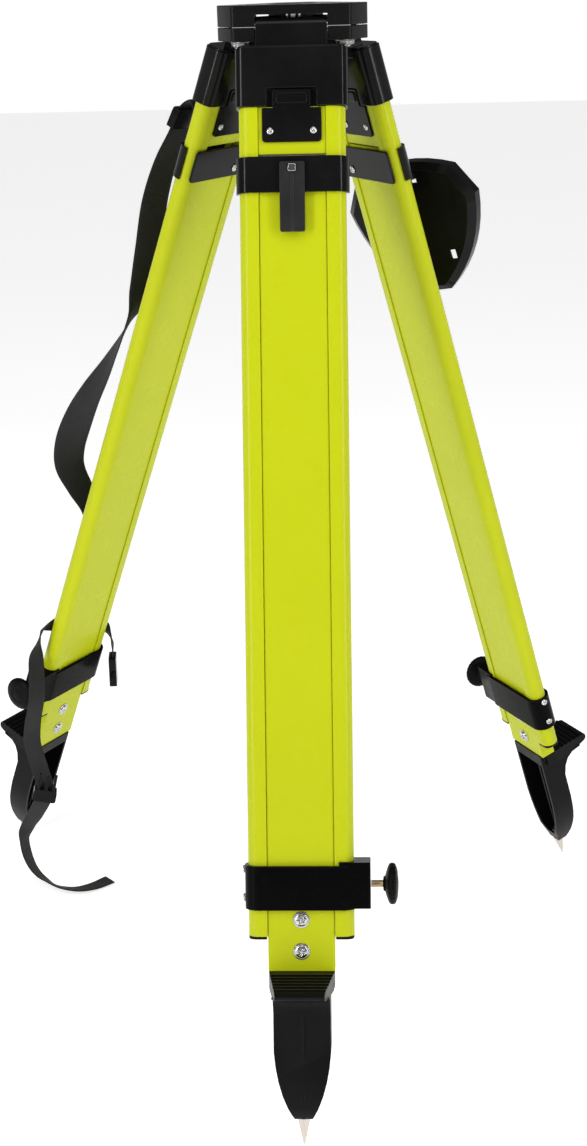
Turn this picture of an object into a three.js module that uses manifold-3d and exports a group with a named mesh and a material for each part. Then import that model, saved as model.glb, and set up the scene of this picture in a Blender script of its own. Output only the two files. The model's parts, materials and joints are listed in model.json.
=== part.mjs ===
// Surveyor tripod with three telescopic legs, a flat head, a hanging head cover and two straps.
// Millimetres, +Z up. The front leg points along -Y. Leg coordinates: u runs across a leg, w runs
// outwards from its middle plane, and s runs down the leg from its hinge pin.
import * as THREE from 'three';
import { mergeVertices } from 'three/addons/utils/BufferGeometryUtils.js';
import Module from 'manifold-3d';

const wasm = await Module();
wasm.setup();

// ---------------------------------------------------------------- driving dimensions
const GAP = 0.3; // between pieces that touch
const HINGE_HEIGHT = 1113.5; // hinge pins above the floor
const HINGE_RADIUS = 48; // hinge pins from the head's axis
const LEGS = [
  { name: 'front', azimuth: 0, spread: 18.07 },
  { name: 'right', azimuth: 120, spread: 16.61 },
  { name: 'left', azimuth: -120, spread: 21.94 },
];

const MIDDLE = 7; // the legs' middle plane outside the hinge pin
const LEG_HALF = 55.7; // half the width of a leg
const RAIL_INNER = 35.3; // a rail's flat inner side
const RAIL_HALF = 11; // half the thickness of a rail
const RAIL_END = 951.5;
const RAIL_WALL = 1.8;
const GROOVE = { depth: 4.2, half: 4 };
const PANEL_HALF = { u: RAIL_INNER - GAP, w: 9.5 };
const CLOSED_TIP = 1163; // from the pin to the steel tip of a leg pushed fully in

const CAP = { top: 24.5, bottom: 87.5, halfW: 14, halfU: 58.8, corner: 11, neck: 37.5 };
const RECESS = { half: 26.5, top: 69, floor: 8 };
const BARREL_RADIUS = 9;
const PIN_RADIUS = 6;
const WEB_BOTTOM = 136.5;
const PLATE = { half: 31, bottom: 124.5, tongue: 19.7, top: 71, thick: 2.6, rivetU: 22.5, rivetS: 113 };
const BAND = { top: 139.5, bottom: 176.5, thick: 3.2 };
const INNER_PLATE_HALF = 55;
const CLAMP = { top: 877, bottom: 923, halfU: 59.1, halfW: 15.5, box: 73, boxHalf: 14 };
const KNOB = { screw: 3.7, radius: 21.5, from: 87.6, to: 101.5, s: 898 };

const PANEL = { top: 136.8, bottom: 977.5, tongueEnd: 905, wallU: 2.6, wallW: 1.8 };
const BOLTS = [923.2, 956.4];
const BOOT = { top: 977.8, bottom: 1134, half: 30, inner: 11, outer: 19.5, wall: 3.2 };
const PEDAL = { tip: 66, rootHalf: 34.5, tipHalf: 25.5, thick: 9 };
const POINT_RADIUS = 6.5;

const HEAD = { inradius: 57, side: 62, top: 22, plate: 12.5, split: 0.4, bottom: -14, hole: 26 };
const LUG_INNER = 38;
const ARM = { pivot: 31, half: 10.5, far: -24.5, slot: 19.5, slotHalf: 7.5, thick: 4.6 };
const FIXING = { thread: 7.9, top: 20, shank: 5, knobTop: -22, knobBottom: -45, knob: 20 };
const COVER = {
  grow: 3.5, bulge: 13, depth: 20, wall: 2.6, bevel: 8, slotRadius: 57.7, slotTurn: -16, turn: 182,
  yaw: 31.6, u: 18.4, w: 35.9, s: 252.6, hook: { u: 7.9, top: 191.4 },
};
const SHOULDER_STRAP = { width: 38, thick: 2.2 };
const TIE_STRAP = { width: 22, thick: 2 };

// ---------------------------------------------------------------- materials
const paint = (color, roughness, metalness) =>
  new THREE.MeshStandardMaterial({ color, roughness, metalness });
const LIME = paint(0xc9d62b, 0.35, 0);
const BLACK = paint(0x121214, 0.3, 0);
const CAST = paint(0x17181a, 0.45, 0.2);
const RUBBER = paint(0x2b2c2b, 0.7, 0);
const STEEL = paint(0xb9b6ad, 0.3, 1);
const BRASS = paint(0xa9794a, 0.35, 1);
const WEBBING = paint(0x1b1c1c, 0.9, 0);

// ---------------------------------------------------------------- solids
const radians = THREE.MathUtils.degToRad;

function manifold(geometry) {
  const bare = geometry.clone();
  bare.deleteAttribute('normal');
  bare.deleteAttribute('uv');
  const merged = mergeVertices(bare, 1e-4);
  return new wasm.Manifold(new wasm.Mesh({
    numProp: 3,
    vertProperties: new Float32Array(merged.attributes.position.array),
    triVerts: new Uint32Array(merged.index.array),
  }));
}

function geometryOf(solid) {
  const mesh = solid.getMesh();
  const geometry = new THREE.BufferGeometry();
  const points = new Float32Array(mesh.vertProperties);
  geometry.setAttribute('position', new THREE.BufferAttribute(points, 3));
  geometry.setIndex(new THREE.BufferAttribute(new Uint32Array(mesh.triVerts), 1));
  geometry.computeVertexNormals();
  return geometry;
}

const join = (...parts) => geometryOf(parts.map(manifold).reduce((a, b) => a.add(b)));
const cut = (part, ...tools) =>
  geometryOf(tools.map(manifold).reduce((a, b) => a.subtract(b), manifold(part)));
const overlap = (a, b) => geometryOf(manifold(a).intersect(manifold(b)));

// A flat shape drawn out along z from 0 to depth.
function extrude(shape, depth, curveSegments) {
  return new THREE.ExtrudeGeometry(shape, { depth, bevelEnabled: false, curveSegments });
}

// A shape drawn in (u, -w), drawn out along the leg from s = from to s = to.
function prism(shape, from, to, curveSegments = 6) {
  return extrude(shape, to - from, curveSegments).translate(0, 0, -to);
}

// A shape drawn in (w, s), drawn out across the leg from u = from to u = to.
function sidePrism(shape, from, to, curveSegments = 4) {
  const toLeg = new THREE.Matrix4().set(0, 0, 1, from, -1, 0, 0, 0, 0, -1, 0, 0, 0, 0, 0, 1);
  return extrude(shape, to - from, curveSegments).applyMatrix4(toLeg);
}

// A shape drawn in (u, s), drawn out through the leg from w = from to w = to.
function facePrism(shape, from, to, curveSegments = 2) {
  const toLeg = new THREE.Matrix4().set(1, 0, 0, 0, 0, 0, 1, -to, 0, -1, 0, 0, 0, 0, 0, 1);
  return extrude(shape, to - from, curveSegments).applyMatrix4(toLeg);
}

function box(u0, u1, w0, w1, s0, s1) {
  const geometry = new THREE.BoxGeometry(u1 - u0, w1 - w0, s1 - s0);
  return geometry.translate((u0 + u1) / 2, -(w0 + w1) / 2, -(s0 + s1) / 2);
}

function cylinder(radius, length, segments = 20) {
  return new THREE.CylinderGeometry(radius, radius, length, segments);
}

// A cylinder along u or along w, centred at (u, w, s).
const alongU = (radius, length, u, w, s, segments) =>
  cylinder(radius, length, segments).rotateZ(Math.PI / 2).translate(u, -w, -s);
const alongW = (radius, length, u, w, s, segments) =>
  cylinder(radius, length, segments).translate(u, -w, -s);

// A profile of [radius, height] points turned about the Z axis.
function lathe(profile, segments = 32) {
  const points = profile.map(([r, z]) => new THREE.Vector2(r, z));
  return new THREE.LatheGeometry(points, segments).rotateX(Math.PI / 2);
}

function polygon(points) {
  return new THREE.Shape(points.map(([x, y]) => new THREE.Vector2(x, y)));
}

// The corners of a closed outline rounded with the given radius.
function rounded(points, radius) {
  const shape = new THREE.Shape();
  points.forEach((point, i) => {
    const corner = new THREE.Vector2(...point);
    const [before, after] = [points.at(i - 1), points[(i + 1) % points.length]].map((next) =>
      new THREE.Vector2(...next).sub(corner).setLength(radius).add(corner));
    if (i === 0) shape.moveTo(before.x, before.y);
    else shape.lineTo(before.x, before.y);
    shape.quadraticCurveTo(corner.x, corner.y, after.x, after.y);
  });
  shape.closePath();
  return shape;
}

const rectangle = (halfX, halfY, radius) =>
  rounded([[-halfX, -halfY], [halfX, -halfY], [halfX, halfY], [-halfX, halfY]], radius);

// Half of a flattened tube with round sides, the section that the rails and their bands follow.
function roundSided(halfU, halfW) {
  const shape = new THREE.Shape();
  shape.moveTo(-(halfU - halfW), -halfW);
  shape.lineTo(halfU - halfW, -halfW);
  shape.absarc(halfU - halfW, 0, halfW, -Math.PI / 2, Math.PI / 2, false);
  shape.lineTo(-(halfU - halfW), halfW);
  shape.absarc(-(halfU - halfW), 0, halfW, Math.PI / 2, Math.PI * 1.5, false);
  return shape;
}

// ---------------------------------------------------------------- scene graph
const tripod = new THREE.Group();

function node(name, geometry, material, parent = tripod) {
  const mesh = new THREE.Mesh(geometry, material);
  mesh.name = name;
  parent.add(mesh);
  return mesh;
}

// ---------------------------------------------------------------- head
// A triangle with its corners cut off: its three long sides face the legs.
function headOutline(grow = 0) {
  const points = [];
  for (const azimuth of [0, 120, 240]) {
    const turn = radians(azimuth);
    const inradius = HEAD.inradius + grow;
    const side = HEAD.side + grow * Math.tan(Math.PI / 6);
    for (const u of [-side, side]) {
      points.push([
        inradius * Math.sin(turn) + u * Math.cos(turn),
        -inradius * Math.cos(turn) + u * Math.sin(turn),
      ]);
    }
  }
  return points;
}

// One of the three corners of the head, between two hinge slots.
function cornerOutline() {
  const [, legSide, nextSide] = headOutline();
  const axis = radians(60);
  const mirror = ([x, y]) => {
    const along = x * Math.sin(axis) - y * Math.cos(axis);
    return [2 * along * Math.sin(axis) - x, -2 * along * Math.cos(axis) - y];
  };
  const slot = [LUG_INNER, -HEAD.inradius];
  const inner = [LUG_INNER, -LUG_INNER / Math.tan(axis)];
  const radius = 3.5;
  const shape = new THREE.Shape();
  const towards = (from, to) => new THREE.Vector2(...to).sub(new THREE.Vector2(...from)).setLength(radius);
  shape.moveTo(...slot);
  for (const [before, corner, after] of [[slot, legSide, nextSide], [legSide, nextSide, mirror(slot)]]) {
    const a = towards(corner, before);
    const b = towards(corner, after);
    shape.lineTo(corner[0] + a.x, corner[1] + a.y);
    shape.quadraticCurveTo(corner[0], corner[1], corner[0] + b.x, corner[1] + b.y);
  }
  shape.lineTo(...mirror(slot));
  shape.lineTo(...inner);
  return shape;
}

// The bores of the two hinge pins that a corner holds, and of all six in the casting.
function pinBores(azimuths) {
  return azimuths.map((azimuth) => {
    const bore = alongU(PIN_RADIUS + GAP, 2 * HEAD.side + 0.8, 0, 0, 0);
    return bore.translate(0, -HINGE_RADIUS, 0).rotateZ(radians(azimuth));
  });
}

function buildHead() {
  const plate = new THREE.ExtrudeGeometry(rounded(headOutline(), 3.5), {
    depth: HEAD.top - HEAD.plate - 1.2, bevelEnabled: true, bevelThickness: 0.6, bevelSize: 0.6,
    bevelOffset: -0.6, bevelSegments: 1, curveSegments: 4,
  }).translate(0, 0, HEAD.plate + 0.6);
  const corner = (top, bottom) => new THREE.ExtrudeGeometry(cornerOutline(), {
    depth: top - bottom, bevelEnabled: false, curveSegments: 4,
  }).translate(0, 0, bottom);
  const pivotPost = cylinder(4.5, 16, 16).rotateX(Math.PI / 2).translate(0, ARM.pivot, HEAD.plate - 7);
  const corners = [0, 120, 240].map((turn) => corner(HEAD.plate + 1, HEAD.split).rotateZ(radians(turn)));
  const hole = cylinder(HEAD.hole, 60, 32).rotateX(Math.PI / 2);
  const body = join(cut(plate, hole), ...corners, pivotPost);
  const casting = node('head_casting', cut(body, ...pinBores([0, 120, 240])), CAST);
  casting.position.z = HINGE_HEIGHT;

  // the caps that clamp the pins from below, one for each corner
  const names = ['front_right', 'back', 'front_left'];
  names.forEach((name, i) => {
    const cap = cut(corner(-HEAD.split, HEAD.bottom), ...pinBores([0, 120]));
    const mesh = node(`pin_clamp_${name}`, cap, CAST);
    mesh.position.z = HINGE_HEIGHT;
    mesh.rotation.z = radians(120 * i);
  });

  // the fixing screw on its swinging arm
  const armShape = rounded([
    [-ARM.half, ARM.far], [ARM.half, ARM.far], [ARM.half, ARM.pivot + 9], [-ARM.half, ARM.pivot + 9],
  ], 7);
  const arm = extrude(armShape, ARM.thick, 5).translate(0, 0, -ARM.thick / 2);
  const slot = new THREE.ExtrudeGeometry(rectangle(ARM.slotHalf, ARM.slot, ARM.slotHalf - 0.1), {
    depth: 20, bevelEnabled: false, curveSegments: 6,
  }).translate(0, 0, -10);
  const pivotHole = cylinder(4.5 + GAP, 20, 16).rotateX(Math.PI / 2).translate(0, ARM.pivot, 0);
  node('fixing_arm', cut(arm, slot, pivotHole), STEEL).position.z = HINGE_HEIGHT;

  const half = ARM.thick / 2;
  const bore = FIXING.shank + GAP;
  node('fixing_bush', lathe([
    [bore, -half - 3], [10.5, -half - 3], [10.5, -half - GAP], [ARM.slotHalf - GAP, -half - GAP],
    [ARM.slotHalf - GAP, half + GAP], [bore, half + GAP], [bore, -half - 3],
  ], 20), BRASS).position.z = HINGE_HEIGHT;

  const shoulder = half + 2 * GAP;
  const { knobTop, knobBottom, knob } = FIXING;
  const screw = lathe([
    [0, knobBottom], [knob - 4, knobBottom], [knob, knobBottom + 4], [knob, knobTop - 5],
    [knob - 3, knobTop - 2], [9, knobTop], [FIXING.shank, knobTop], [FIXING.shank, shoulder],
    [FIXING.thread, shoulder], [FIXING.thread, FIXING.top - 1], [FIXING.thread - 1, FIXING.top],
    [0, FIXING.top],
  ], 24);
  const flutes = [0, 60, 120, 180, 240, 300].map((turn) =>
    cylinder(6, 40, 12).rotateX(Math.PI / 2).translate(knob + 3.4, 0, knobBottom).rotateZ(radians(turn)));
  node('fixing_screw', cut(screw, ...flutes), STEEL).position.z = HINGE_HEIGHT;
}

// ---------------------------------------------------------------- upper leg
function railShape(side) {
  const centre = LEG_HALF - RAIL_HALF;
  const groove = RAIL_INNER + GROOVE.depth;
  const shape = new THREE.Shape();
  shape.moveTo(RAIL_INNER, -RAIL_HALF);
  shape.lineTo(centre, -RAIL_HALF);
  shape.absarc(centre, 0, RAIL_HALF, -Math.PI / 2, Math.PI / 2, false);
  shape.lineTo(RAIL_INNER, RAIL_HALF);
  shape.lineTo(RAIL_INNER, GROOVE.half);
  shape.lineTo(groove, GROOVE.half);
  shape.lineTo(groove, -GROOVE.half);
  shape.lineTo(RAIL_INNER, -GROOVE.half);
  shape.holes.push(railHole(RAIL_WALL));
  return side > 0 ? shape : mirrored(shape);
}

// The inside of a rail; a larger wall gives the section of the spigot that plugs into it.
function railHole(wall) {
  const centre = LEG_HALF - RAIL_HALF;
  const radius = RAIL_HALF - wall;
  const inner = RAIL_INNER + GROOVE.depth + wall;
  const hole = new THREE.Shape();
  hole.moveTo(inner, -radius);
  hole.lineTo(inner, radius);
  hole.lineTo(centre, radius);
  hole.absarc(centre, 0, radius, Math.PI / 2, -Math.PI / 2, true);
  return hole;
}

function mirrored(shape) {
  const flip = (points) => points.map((p) => new THREE.Vector2(-p.x, p.y)).reverse();
  const { shape: outline, holes } = shape.extractPoints(6);
  const result = new THREE.Shape(flip(outline));
  result.holes = holes.map((hole) => new THREE.Path(flip(hole)));
  return result;
}

// The section of the web and of the sliding panel, with a tongue for each rail's groove.
function tongued(halfU, halfW) {
  const tip = RAIL_INNER + GROOVE.depth - GAP;
  const tongue = GROOVE.half - GAP;
  return polygon([
    [-halfU, -halfW], [halfU, -halfW], [halfU, -tongue], [tip, -tongue], [tip, tongue], [halfU, tongue],
    [halfU, halfW], [-halfU, halfW], [-halfU, tongue], [-tip, tongue], [-tip, -tongue], [-halfU, -tongue],
  ]);
}

function hingeCap() {
  const { top, bottom, halfU, halfW, corner, neck } = CAP;
  const housing = prism(rectangle(halfU, halfW, corner), top + 2, bottom, 4);
  const crown = prism(rectangle(halfU - 2, halfW - 2, corner - 2), top, top + 2.5, 4);
  const neckBlock = box(-neck, neck, -MIDDLE - BARREL_RADIUS, -MIDDLE + BARREL_RADIUS, 0, top + 10);
  const barrel = alongU(BARREL_RADIUS, 2 * neck, 0, -MIDDLE, 0, 24);
  const spigots = [1, -1].map((side) => {
    const shape = railHole(RAIL_WALL + GAP);
    return prism(side > 0 ? shape : mirrored(shape), bottom - 5, bottom + 22, 4);
  });
  const recesses = [1, -1].map((side) => {
    const shape = rounded([
      [-RECESS.half, RECESS.top], [RECESS.half, RECESS.top],
      [RECESS.half, bottom + 9], [-RECESS.half, bottom + 9],
    ], 3);
    return side > 0 ? facePrism(shape, RECESS.floor, 30) : facePrism(shape, -30, -RECESS.floor);
  });
  const bore = alongU(PIN_RADIUS + GAP, 200, 0, -MIDDLE, 0);
  return cut(join(housing, crown, neckBlock, barrel, ...spigots), bore, ...recesses);
}

// Two plates on the web, joined through it by their two rivets.
function hingePlates() {
  const { half, bottom, tongue, top, thick, rivetU, rivetS } = PLATE;
  const face = PANEL_HALF.w + GAP;
  const outline = rounded([
    [-half, CAP.bottom + 0.4], [-tongue, CAP.bottom + 0.4], [-tongue, top], [tongue, top],
    [tongue, CAP.bottom + 0.4], [half, CAP.bottom + 0.4], [half, bottom], [-half, bottom],
  ], 0.8);
  const rivets = [-rivetU, rivetU].map((u) => alongW(2.6, 2 * face + 2, u, 0, rivetS, 12));
  return join(facePrism(outline, face, face + thick), facePrism(outline, -face - thick, -face), ...rivets);
}

function topWeb() {
  const block = prism(tongued(PANEL_HALF.u, PANEL_HALF.w), CAP.bottom + GAP, WEB_BOTTOM);
  const holes = [-1, 1].map((side) => alongW(2.6 + GAP, 60, side * PLATE.rivetU, 0, PLATE.rivetS, 12));
  return cut(block, ...holes);
}

// The outer band follows the rails' round sides as far as the leg's middle plane.
function outerBand() {
  const inner = RAIL_HALF + GAP;
  const ring = cut(
    prism(roundSided(LEG_HALF + GAP + BAND.thick, inner + BAND.thick), BAND.top, BAND.bottom),
    prism(roundSided(LEG_HALF + GAP, inner), BAND.top - 1, BAND.bottom + 1),
  );
  return cut(ring, box(-90, 90, -40, -0.5, BAND.top - 1, BAND.bottom + 1));
}

function innerPlate() {
  const inner = RAIL_HALF + GAP;
  const outline = rounded([
    [-INNER_PLATE_HALF + 2, BAND.top], [INNER_PLATE_HALF - 2, BAND.top],
    [INNER_PLATE_HALF, BAND.bottom], [-INNER_PLATE_HALF, BAND.bottom],
  ], 5);
  return facePrism(outline, -inner - 2.8, -inner, 4);
}

function legClamp() {
  const { top, bottom, halfU, halfW, boxHalf } = CLAMP;
  const ring = prism(roundSided(halfU, halfW), top, bottom);
  const housing = prism(rounded([
    [40, -boxHalf], [CLAMP.box, -boxHalf], [CLAMP.box, boxHalf], [40, boxHalf],
  ], 3), top - 4, bottom - 1.5, 3);
  const passage = prism(roundSided(LEG_HALF + GAP, RAIL_HALF + GAP), top - 20, bottom + 20);
  const screwHole = alongU(KNOB.screw + GAP, 40, CLAMP.box, 0, KNOB.s, 16);
  const boltRelief = prism(rectangle(9.5, halfW - 2, 1), bottom - 14, bottom + 1, 1);
  return cut(join(ring, housing), passage, screwHole, boltRelief);
}

function clampKnob() {
  const { screw, radius, from, to } = KNOB;
  return lathe([
    [0, LEG_HALF + 2], [screw, LEG_HALF + 2], [screw, from - 1.5], [8, from - 1.5], [9, from + 1],
    [radius - 1.5, from + 3], [radius, from + 5], [radius, to - 4], [radius - 2, to - 1.5], [0, to],
  ], 24).rotateY(Math.PI / 2);
}

// A tab riveted to the band, with a rib down its middle; on one leg it has a hook for the head cover.
function hookTab(withHook) {
  const back = RAIL_HALF + 2 * GAP + BAND.thick + 0.1;
  const face = back + 4;
  const outline = rounded([[-13, 146], [13, 146], [13, 218], [-13, 218]], 2);
  const rib = box(-1.4, 1.4, face - 1, face + 1, 158, 217);
  const rivet = box(-3.4, 3.4, face - 1, face + 1.4, 149, 156);
  const pieces = [facePrism(outline, back, face), rib, rivet];
  if (withHook) {
    const { u, top } = COVER.hook;
    const hook = polygon([
      [face - 1, top - 6], [face + 8, top], [47.6, top], [48.6, top - 1.2], [52, top - 1.2], [52, top + 4],
      [48, top + 7], [face + 8, top + 7], [face - 1, top + 18],
    ]);
    pieces.push(sidePrism(hook, u - 1.1, u + 1.1));
  }
  return join(...pieces);
}

// ---------------------------------------------------------------- lower leg
function slidingPanel() {
  const { top, bottom, tongueEnd, wallU, wallW } = PANEL;
  const tube = prism(tongued(PANEL_HALF.u, PANEL_HALF.w), top, bottom);
  const inside = prism(rectangle(PANEL_HALF.u - wallU, PANEL_HALF.w - wallW, 1.5), top - 1, bottom + 1, 2);
  const besides = [[PANEL_HALF.u, 60], [-60, -PANEL_HALF.u]].map(([from, to]) =>
    box(from, to, -20, 20, tongueEnd, bottom + 1));
  const holes = BOLTS.map((s) => alongW(3.2 + GAP, 60, 0, 0, s, 12));
  return cut(tube, inside, ...besides, ...holes);
}

function bootBolt(s) {
  const face = PANEL_HALF.w + GAP;
  const profile = [
    [0, -face - 3], [5.5, -face - 2.5], [7, -face], [3.2, -face], [3.2, face], [8, face], [6.5, face + 2.4],
    [0, face + 3.4],
  ];
  return lathe(profile, 12).rotateX(Math.PI / 2).translate(0, 0, -s);
}

// The boot's half width at a distance s down the leg: straight, then an ogive to the nose.
function bootFace(inset) {
  const { top, bottom, half } = BOOT;
  const straight = top + 82;
  const nose = 9.5;
  const side = (sign) => [sign * (half - inset), straight, sign * (half - inset - 3), straight + 42];
  const shape = new THREE.Shape();
  shape.moveTo(-(half - inset), top + (inset ? 16 : 0));
  shape.lineTo(half - inset, top + (inset ? 16 : 0));
  shape.lineTo(...side(1).slice(0, 2));
  shape.quadraticCurveTo(...side(1).slice(2), nose - inset / 2, bottom - inset * 4);
  shape.lineTo(-(nose - inset / 2), bottom - inset * 4);
  shape.quadraticCurveTo(...side(-1).slice(2), ...side(-1).slice(0, 2));
  return shape;
}

// The boot seen from the side, as (w, s); its back is open over a hollow.
function bootSide(inset) {
  const { top, bottom, inner, outer } = BOOT;
  const shape = new THREE.Shape();
  shape.moveTo(inset ? -inner - 5 : -inner, top + (inset ? 16 : 0));
  shape.lineTo(outer - inset, top + (inset ? 16 : 0));
  shape.lineTo(outer - inset, bottom - 46);
  shape.quadraticCurveTo(outer - inset - 1, bottom - 12, 7, bottom - inset * 4);
  shape.lineTo(inset ? -inner - 5 : -6, bottom - inset * 4);
  if (!inset) shape.lineTo(-inner, bottom - 22);
  return shape;
}

function pedal() {
  const { outer } = BOOT;
  const { tip, rootHalf, tipHalf, thick } = PEDAL;
  const top = BOOT.top;
  const side = new THREE.Shape();
  side.moveTo(-4, top);
  side.lineTo(PANEL_HALF.w + 1, top);
  side.lineTo(tip - 2, top + 7);
  side.quadraticCurveTo(tip + 1, top + 8, tip, top + 7 + thick * 0.6);
  side.quadraticCurveTo(tip - 2, top + 7 + thick, tip - 6, top + 7 + thick);
  side.lineTo(38, top + 19);
  side.quadraticCurveTo(24, top + 24, outer, top + 46);
  side.lineTo(outer - 4, top + 46);
  side.lineTo(outer - 4, top + 16);
  side.lineTo(-4, top + 16);
  const plan = rounded([
    [-rootHalf, 20], [rootHalf, 20], [rootHalf, -11],
    [tipHalf, -tip - 1], [-tipHalf, -tip - 1], [-rootHalf, -11],
  ], 2);
  const ribs = [0, 1, 2, 3, 4, 5].map((i) => {
    const w = 20 + 7.5 * i;
    const tread = top + (w - 10) * 0.13;
    return box(-rootHalf, rootHalf, w - 1.2, w + 1.2, tread - 1.4, tread + 3);
  });
  const body = join(sidePrism(side, -40, 40, 3), ...ribs);
  const below = rectangle(BOOT.half - 0.1, 80, 2);
  return overlap(body, join(prism(plan, top - 5, top + 18, 2), prism(below, top + 17, top + 60, 2)));
}

function boot() {
  const { top, bottom, outer, wall } = BOOT;
  const shell = overlap(facePrism(bootFace(0), -30, 30, 5), sidePrism(bootSide(0), -40, 40, 5));
  const hollow = overlap(facePrism(bootFace(wall), -40, 30, 4), sidePrism(bootSide(wall), -40, 40, 4));
  const rib = box(-1.8, 1.8, 0, BOOT.outer - 1, top + 14, bottom - 24);
  const tongue = prism(rectangle(PANEL_HALF.u - PANEL.wallU - GAP, PANEL_HALF.w - PANEL.wallW - GAP, 1.5),
    BOLTS[0] - 17, top + 8, 2);
  const holes = BOLTS.map((s) => alongW(3.2 + GAP, 60, 0, 0, s, 12));
  const socket = cylinder(POINT_RADIUS - 1 + GAP, 40, 16).rotateX(Math.PI / 2).translate(0, 0, -bottom);
  const inward = box(-60, 60, -BOOT.inner - 30, -BOOT.inner, top - 1, bottom + 1);
  const ridge = sidePrism(polygon([
    [outer - 1, top + 24], [outer + 2.4, top + 30], [outer + 2.4, top + 88], [outer - 1, top + 96],
  ]), -1.6, 1.6);
  return cut(join(cut(shell, hollow), rib, ridge, pedal(), tongue), ...holes, socket, inward);
}

function steelPoint() {
  const base = BOOT.bottom + GAP;
  return lathe([
    [0, -CLOSED_TIP], [0.8, -CLOSED_TIP], [POINT_RADIUS, -base - 1.5], [POINT_RADIUS, -base],
    [POINT_RADIUS - 1, -base], [POINT_RADIUS - 1, -base + 14], [0, -base + 14],
  ], 12);
}

// ---------------------------------------------------------------- legs
// The pin-to-tip distance that puts the tip on the floor, less the closed length.
function extension(spread) {
  const angle = radians(spread);
  return (HINGE_HEIGHT + MIDDLE * Math.sin(angle)) / Math.cos(angle) - CLOSED_TIP;
}

// The middle of a leg's hinge pin.
function pinPlace(azimuth) {
  const place = new THREE.Vector3(0, -HINGE_RADIUS, HINGE_HEIGHT);
  return place.applyAxisAngle(new THREE.Vector3(0, 0, 1), radians(azimuth));
}

// The frame of a leg's middle plane: x is u, y is -w and z is -s.
function legFrame({ azimuth, spread }) {
  const pin = new THREE.Group();
  pin.position.copy(pinPlace(azimuth));
  pin.rotation.set(-radians(spread), 0, radians(azimuth), 'ZYX');
  const middle = new THREE.Group();
  middle.position.y = -MIDDLE;
  pin.add(middle);
  tripod.add(pin);
  return middle;
}

function buildLeg(leg) {
  const { name, azimuth, spread } = leg;
  const upper = legFrame(leg);
  node(`hinge_cap_${name}`, hingeCap(), BLACK, upper);
  node(`hinge_plates_${name}`, hingePlates(), BLACK, upper);
  node(`rail_left_${name}`, prism(railShape(-1), CAP.bottom + GAP, RAIL_END), LIME, upper);
  node(`rail_right_${name}`, prism(railShape(1), CAP.bottom + GAP, RAIL_END), LIME, upper);
  node(`top_web_${name}`, topWeb(), LIME, upper);
  node(`outer_band_${name}`, outerBand(), BLACK, upper);
  node(`inner_plate_${name}`, innerPlate(), BLACK, upper);
  node(`leg_clamp_${name}`, legClamp(), BLACK, upper);
  node(`clamp_knob_${name}`, clampKnob(), BRASS, upper).position.z = -KNOB.s;

  const lower = new THREE.Group();
  lower.position.z = -extension(spread);
  upper.add(lower);
  node(`sliding_panel_${name}`, slidingPanel(), LIME, lower);
  node(`boot_${name}`, boot(), CAST, lower);
  node(`boot_bolt_upper_${name}`, bootBolt(BOLTS[0]), STEEL, lower);
  node(`boot_bolt_lower_${name}`, bootBolt(BOLTS[1]), STEEL, lower);
  node(`steel_point_${name}`, steelPoint(), STEEL, lower);

  const pin = node(`hinge_pin_${name}`, alongU(PIN_RADIUS, 2 * HEAD.side, 0, 0, 0), STEEL);
  pin.position.copy(pinPlace(azimuth));
  pin.rotation.z = radians(azimuth);
  return upper;
}

// ---------------------------------------------------------------- head cover
// The cover's outline: the head's, grown, with its three long sides bulging outwards.
function coverOutline(grow) {
  const corners = headOutline(grow);
  const shape = new THREE.Shape();
  shape.moveTo(...corners[0]);
  [0, 120, 240].forEach((azimuth, i) => {
    const reach = HEAD.inradius + grow + 2 * COVER.bulge;
    shape.quadraticCurveTo(reach * Math.sin(radians(azimuth)), -reach * Math.cos(radians(azimuth)),
      ...corners[2 * i + 1]);
    shape.lineTo(...corners[(2 * i + 2) % 6]);
  });
  return shape;
}

// A tray, open at its back, whose face carries three slots near its long sides.
function headCover() {
  const { grow, depth, wall, bevel, slotRadius, slotTurn, turn } = COVER;
  const tray = (inset, from) => new THREE.ExtrudeGeometry(coverOutline(grow - inset), {
    depth: depth - bevel, bevelEnabled: true, bevelThickness: bevel, bevelSize: bevel, bevelOffset: -bevel,
    bevelSegments: 1, curveSegments: 8,
  }).translate(0, 0, from);
  const halfSpace = new THREE.BoxGeometry(400, 400, 100).translate(0, 0, -depth - 50);
  const outer = cut(tray(0, -depth), halfSpace);
  const inner = tray(wall, -depth - wall - bevel);
  const inside = join(inner, tray(wall, -depth - wall));
  const slots = [0, 120, 240].map((azimuth) => {
    const towards = radians(azimuth + slotTurn);
    const slot = new THREE.ExtrudeGeometry(rectangle(3.6, 5.8, 1), {
      depth: 30, bevelEnabled: false, curveSegments: 2,
    });
    return slot.translate(slotRadius * Math.sin(towards), -slotRadius * Math.cos(towards), -15);
  });
  return cut(outer, inside, ...slots).rotateZ(radians(turn));
}

function buildCover(parent) {
  const { yaw, u, w, s } = COVER;
  const cover = node('head_cover', headCover(), BLACK, parent);
  cover.position.set(u, -w, -s);
  cover.rotation.set(Math.PI / 2, 0, radians(180 + yaw), 'ZYX');
}

// ---------------------------------------------------------------- straps
const inLeg = ([u, w, s]) => new THREE.Vector3(u, -w, -s);

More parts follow.
